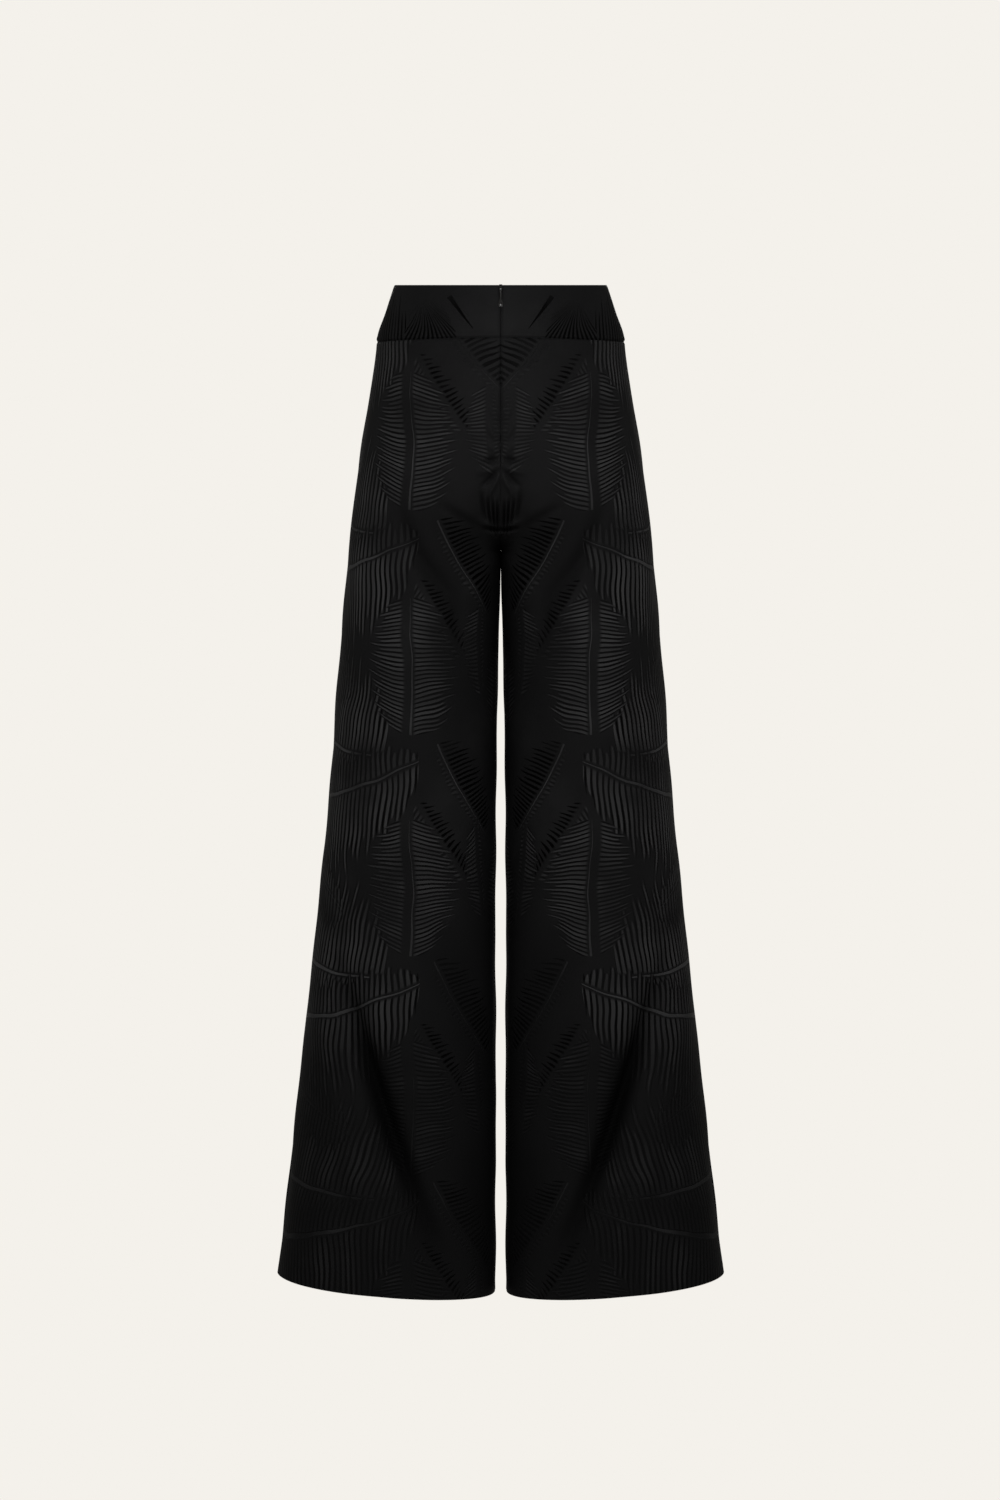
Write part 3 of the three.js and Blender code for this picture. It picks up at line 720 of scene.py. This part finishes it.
def frond_group():
    """One palm frond in the cloth's coordinates. The midrib starts at the root, Turn radians from straight
    up, and bows sideways, and leaflets leave it on both sides. Near is the side of the panel's side seam
    for a frond that points up."""
    group = bpy.data.node_groups.new("frond", "ShaderNodeTree")
    for name in FROND_INPUTS:
        group.interface.new_socket(name, in_out="INPUT", socket_type="NodeSocketFloat")
    for name in ("Relief", "Tone", "Cover"):
        group.interface.new_socket(name, in_out="OUTPUT", socket_type="NodeSocketFloat")
    n = Nodes(group)
    given = n.add("NodeGroupInput").outputs
    m = n.math
    a, b = frond_place(n, given)
    q, r = m("DIVIDE", a, given["Length"]), m("ABSOLUTE", b)
    far = m("GREATER_THAN", b, 0.0)
    arch = m("MAXIMUM", n.product(q, 4.0, m("SUBTRACT", 1.0, q)), 0.0)
    beat = leaflet_beat(n, given, a, r)
    number = m("FLOOR", m("ADD", beat, 0.5))
    out, leaf = leaflet_reach(n, given, r, far, arch, number)
    blade, tone = leaflet_tone(n, given, far, beat, number, out)
    line = m("MULTIPLY", given["Rib width"], m("SUBTRACT", 1.15, q))
    rib = m("SUBTRACT", 1.0, n.ease(m("MULTIPLY", line, 0.6), line, r))
    rib = m("MULTIPLY", rib, m("GREATER_THAN", arch, 0.0))
    strong = m("MULTIPLY", m("ABSOLUTE", given["Rib"]), rib)
    result = n.add("NodeGroupOutput").inputs
    n.put(result["Relief"], m("ADD", m("MULTIPLY", blade, leaf), m("MULTIPLY", strong, 1.6)))
    n.put(result["Tone"], n.blend(m("MULTIPLY", tone, leaf), given["Rib"], rib))
    n.put(result["Cover"], m("MAXIMUM", leaf, strong, clamp=True))
    return group


# Fronds of one repeat, laid out one by one, later ones over earlier ones, with degrees from straight up: root
# across, root up, turn, bow, length, width near and far, bare strip beside the midrib, pitch, fan, tone
# near and far, tone of the midrib, its width
LEG_CHART = (
    (0.128, -0.486, 8, 0.6, 0.120, 0.034, 0.030, 0.0, 0.0050, 0.35, 0.45, 0.45, 0.0, 0.001),
    (-0.205, -0.250, 101, -0.4, 0.175, 0.125, 0.060, 0.0, 0.0064, 0.05, 1.0, 1.0, 1.3, 0.0040),
    (-0.205, -0.322, 93, -1.3, 0.210, 0.046, 0.105, 0.0, 0.0066, 0.08, 1.0, 1.1, 1.4, 0.0042),
    (-0.205, -0.398, 95, 2.2, 0.125, 0.030, 0.046, 0.0, 0.0060, 0.10, 0.9, 0.8, 0.8, 0.0026),
    (0.006, -0.322, 150, -0.6, 0.100, 0.024, 0.022, 0.0, 0.0062, 0.55, -2.2, 0.5, 0.0, 0.001),
    (0.026, -0.254, 157, -1.7, 0.126, 0.050, 0.012, 0.0, 0.0058, 0.25, -1.9, 0.3, 0.9, 0.0012),
    (0.093, -0.451, -8, 0.5, 0.100, 0.030, 0.012, 0.0, 0.0052, 0.60, 0.7, 0.5, 0.0, 0.001),
    (-0.002, -0.492, 3, -0.4, 0.152, 0.056, 0.058, 0.007, 0.0052, 0.40, 0.9, 0.85, 0.85, 0.0015),
)

BAND_CHART = (
    (-0.125, -0.076, 90, 0.0, 0.130, 0.090, 0.030, 0.0, 0.0056, 0.08, -1.6, -1.0, 0.0, 0.001),
    (0.052, -0.066, -90, 0.0, 0.062, 0.010, 0.058, 0.0, 0.0064, 0.60, -0.8, -2.4, 0.0, 0.001),
    (0.047, -0.013, 145, 0.0, 0.044, 0.006, 0.008, 0.0, 0.0050, 0.30, 0.1, 0.1, -1.3, 0.0030),
)


def layered(n, chart, x, y):
    """The fronds of a chart, each over the ones before it: how raised the weave is, and its tone."""
    relief, tone = 0.0, 0.0
    for row in chart:
        node = n.add("ShaderNodeGroup", node_tree=frond)
        n.put(node.inputs["Across"], x)
        n.put(node.inputs["Up"], y)
        for socket, value in zip(FROND_INPUTS[2:], row):
            node.inputs[socket].default_value = math.radians(value) if socket == "Turn" else value
        relief = n.blend(relief, node.outputs["Relief"], node.outputs["Cover"])
        tone = n.blend(tone, node.outputs["Tone"], node.outputs["Cover"])
    return relief, tone


def shown(n, tone, x, y, patches, at_top):
    """The tone that shows: weaker at the top and on the lower leg, uneven in patches, and with nothing light
    beside the centre seam at the top."""
    top = n.ease(*TOP_FADE, y)
    strength = n.blend(n.blend(1.0, at_top, top), LOW_STRENGTH, n.ease(*LOW_FADE, y))
    uneven = n.math("ADD", 0.35, n.math("MULTIPLY", n.ease(0.3, 0.6, patches), 0.65))
    lightest = n.math("SUBTRACT", 2.0, n.product(top, n.ease(-0.03, 0.015, x), 2.0))
    return n.math("MINIMUM", n.product(tone, strength, uneven), lightest)


def satin_colour(n, tone, y, patches):
    """Near black, from GROUND x 0.1 to GROUND x 5 with the tone, and with painted shade: a little darker at
    the hem, and darkest in the folds."""
    tint = n.math("ADD", tone, n.math("MULTIPLY", n.math("SUBTRACT", patches, 0.5), 0.5))
    # painted shade: darker down the lower leg, towards the hem
    tint = n.math("SUBTRACT", tint, n.math("MULTIPLY", n.ease(*HEM_PAINTED_SHADE, y), 0.3))
    dark, plain = (GROUND * 0.1,) * 3, (GROUND, GROUND, GROUND * 1.03)
    light = (GROUND * 5, GROUND * 5, GROUND * 5.1)
    colour = n.ramp(n.spread(tint, -1.2, 1.2), dark, plain, light)
    # painted shade: the deeper a point lies in a fold, the more its colour goes to the near black of the
    # folds
    deep = n.add("ShaderNodeAttribute", attribute_name="valley").outputs["Fac"]
    return n.blend(colour, (*FOLD_PAINTED_SHADE, 1), n.math("MULTIPLY", deep, 0.8), "RGBA")


def jacquard(name, chart, at_top):
    """Black satin with tone-on-tone fronds: each one raises leaflets in the weave, and turns its threads so
    that they look lighter or darker than the plain satin between them."""
    made, n, shader = new_material(name)
    place = n.add("ShaderNodeUVMap", uv_map="weave").outputs[0]
    across, up, _ = n.separate(place)
    shift = n.math("MULTIPLY", n.math("SUBTRACT", n.noise(place, 14.0, 1.0), 0.5), STRAY)
    x, y = n.math("ADD", across, shift), n.math("SUBTRACT", up, shift)
    relief, tone = layered(n, chart, x, y)
    patches = n.noise(place, 9.0, 3.0)
    tone = shown(n, tone, x, y, patches, at_top)
    threads = n.math("MULTIPLY", n.noise(place, 900.0, 2.0), 0.25)
    n.put(shader.inputs["Base Color"], satin_colour(n, tone, y, patches))
    n.put(shader.inputs["Roughness"], n.spread(tone, -1.0, 1.0, 0.56, 0.38))
    n.put(shader.inputs["Normal"], n.bump(n.math("ADD", relief, threads), 0.8, 0.0005))
    shader.inputs["Specular IOR Level"].default_value = 0.012
    return made


def tape_cloth():
    """Woven zip tape: a fine herringbone of ribs, sines of the height plus a folded distance across."""
    made, n, shader = new_material("zip_tape")
    place = n.add("ShaderNodeUVMap", uv_map="weave").outputs[0]
    across, up, _ = n.separate(place)
    fold = n.math("PINGPONG", across, 0.003)
    ribs = n.math("SINE", n.math("MULTIPLY", n.math("ADD", fold, up), 7000.0))
    n.put(shader.inputs["Normal"], n.bump(ribs, 0.6, 0.0002))
    n.put(shader.inputs["Base Color"], n.ramp(n.noise(place, 60.0, 2.0, False), (0.003,) * 3, (0.007,) * 3))
    shader.inputs["Roughness"].default_value = 0.8
    shader.inputs["Specular IOR Level"].default_value = 0.1
    return made


def worn_gloss(name, base, roughness, specular, crown=None):
    """Smooth black enamel or nylon, with faint handling marks in its gloss. A crown rounds it: its height
    falls by the crown's first number times the square of the distance from the middle plane, and by its
    second times the square of the height above or below its third."""
    made, n, shader = new_material(name)
    place = n.add("ShaderNodeTexCoord").outputs["Object"]
    marks = n.noise(place, 420.0, 4.0, False)
    n.put(shader.inputs["Roughness"], n.spread(marks, 0.0, 1.0, roughness * 0.8, roughness * 1.4))
    n.put(shader.inputs["Base Color"], n.ramp(marks, [c * 0.85 for c in base], base))
    if crown:
        across, along, middle = crown
        x, _, z = n.separate(place)
        away = n.math("POWER", n.math("SUBTRACT", z, middle), 2.0)
        falls = n.math("ADD", n.math("MULTIPLY", n.math("POWER", x, 2.0), across),
                       n.math("MULTIPLY", away, along))
        n.put(shader.inputs["Normal"], n.bump(n.math("MULTIPLY", falls, -1.0), 1.0, 1.0))
    shader.inputs["Specular IOR Level"].default_value = specular
    return made


def wear(thing, material, body="trousers", node=None):
    """Gives a piece its material and body, and hides the node that it stands for, if any."""
    thing.data.materials.clear()
    thing.data.materials.append(material)
    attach(thing, body)
    if node:
        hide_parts(node)
    return thing


frond = frond_group()
leg_satin = jacquard("jacquard_satin", LEG_CHART, 0.65)
band_satin = jacquard("jacquard_satin_band", BAND_CHART, 1.0)
tape_weave = tape_cloth()
nylon = worn_gloss("black_nylon", (0.003,) * 3, 0.45, 0.1)
enamel = worn_gloss("black_enamel", (0.0012, 0.0012, 0.0013), 0.11, 1.0, (190.0, 60.0, -0.0225))

SIDES = (("left", False), ("right", True))
for side_name, mirror in SIDES:
    name = f"waistband_back_{side_name}"
    thing, points = waistband(name + "_satin", BACK, mirror)
    wear(thing, band_satin, node=name)
thing, points = waistband_whole("waistband_front_satin", FRONT)
wear(thing, band_satin, node="waistband_front")

for side_name, mirror in SIDES:
    for face_name, face in (("back", BACK), ("front", FRONT)):
        name = f"leg_{face_name}_{side_name}"
        thing, points = leg_panel(name + "_satin", face, mirror)
        wear(thing, leg_satin, node=name)
    name = f"zip_tape_{side_name}"
    thing, points = zip_tape(name + "_woven", mirror)
    wear(thing, tape_weave, node=name)
    wear(coil(f"zip_coil_{side_name}", mirror), nylon)

for node in ("zip_slider", "zip_pull"):
    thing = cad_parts[node]
    thing.data.materials.clear()
    thing.data.materials.append(enamel)
    rounded = thing.modifiers.new("rounded_edges", "BEVEL")
    rounded.width = 0.0003
    rounded.segments = 3
    rounded.limit_method = "ANGLE"
    rounded.angle_limit = math.radians(35)

# Floor, backdrop, light and camera

PAPER = (0.905, 0.879, 0.831)
STAGE_RADIUS, STAGE_SIDES, FLOOR_Z, WALL_HEIGHT = 14, 96, -1.5, 16


def stage_piece(name, points, faces):
    """A plain piece of the stage that glows evenly, and neither lights nor shades the trousers."""
    mesh = bpy.data.meshes.new(name)
    mesh.from_pydata(points.tolist(), [], faces)
    mesh.materials.append(paper)
    thing = bpy.data.objects.new(name, mesh)
    bpy.context.scene.collection.objects.link(thing)
    thing.visible_diffuse = thing.visible_glossy = thing.visible_shadow = False
    return thing


paper = bpy.data.materials.new("pale_paper")
paper.use_nodes = True
paper.node_tree.nodes.clear()
n = Nodes(paper.node_tree)
glow = n.add("ShaderNodeEmission")
glow.inputs["Color"].default_value = (*PAPER, 1)
n.put(n.add("ShaderNodeOutputMaterial").inputs["Surface"], glow.outputs[0])

turn = np.linspace(0, 2 * math.pi, STAGE_SIDES, endpoint=False)
ring = np.stack([np.cos(turn), np.sin(turn), 0 * turn], axis=1) * STAGE_RADIUS + [0, 0, FLOOR_Z]
sides = [[i, (i + 1) % STAGE_SIDES, STAGE_SIDES + (i + 1) % STAGE_SIDES, STAGE_SIDES + i]
         for i in range(STAGE_SIDES)]
floor = stage_piece("floor", ring, [list(range(STAGE_SIDES))])
wall = stage_piece("backdrop", np.concatenate([ring, ring + [0, 0, WALL_HEIGHT]]), sides)


def area_light(name, place, aim, size, power):
    """A rectangular light at a place, turned to its aim."""
    data = bpy.data.lights.new(name, "AREA")
    data.shape = "RECTANGLE"
    data.size, data.size_y = size
    data.energy = power
    light = bpy.data.objects.new(name, data)
    bpy.context.scene.collection.objects.link(light)
    light.location = place
    x, y, z = (to - at for to, at in zip(aim, place))
    light.rotation_euler = (math.atan2(math.hypot(x, y), -z), 0, math.atan2(x, -y) + math.pi)


for name, y in (("key", 3.0), ("front", -3.0)):
    area_light(name, (0, y, 1.1), (0, 0, -0.25), (1.8, 1.6), 88)
for corner, (x, y, power) in enumerate(((2.7, 2.0, 5), (-2.7, 2.0, 5), (-3.2, -1.2, 8), (3.2, -1.2, 8))):
    area_light(f"corner_{corner}", (x, y, 0.5), (0, 0, -0.4), (1.6, 2.0), power)

world = bpy.data.worlds.new("studio")
world.use_nodes = True
world.node_tree.nodes["Background"].inputs["Color"].default_value = (*PAPER, 1)
world.node_tree.nodes["Background"].inputs["Strength"].default_value = 0.22
bpy.context.scene.world = world
bpy.context.scene.view_settings.view_transform = "Standard"

LOOK_DOWN = 4.935  # degrees
lens = bpy.data.cameras.new("camera")
lens.lens = 129.25
lens.sensor_width = 36
lens.sensor_fit = "AUTO"
lens.clip_end = 60
camera = bpy.data.objects.new("camera", lens)
bpy.context.scene.collection.objects.link(camera)
camera.location = (0.0008, 6.0, 0)
camera.rotation_euler = (math.radians(90 - LOOK_DOWN), 0, math.pi)
bpy.context.scene.camera = camera
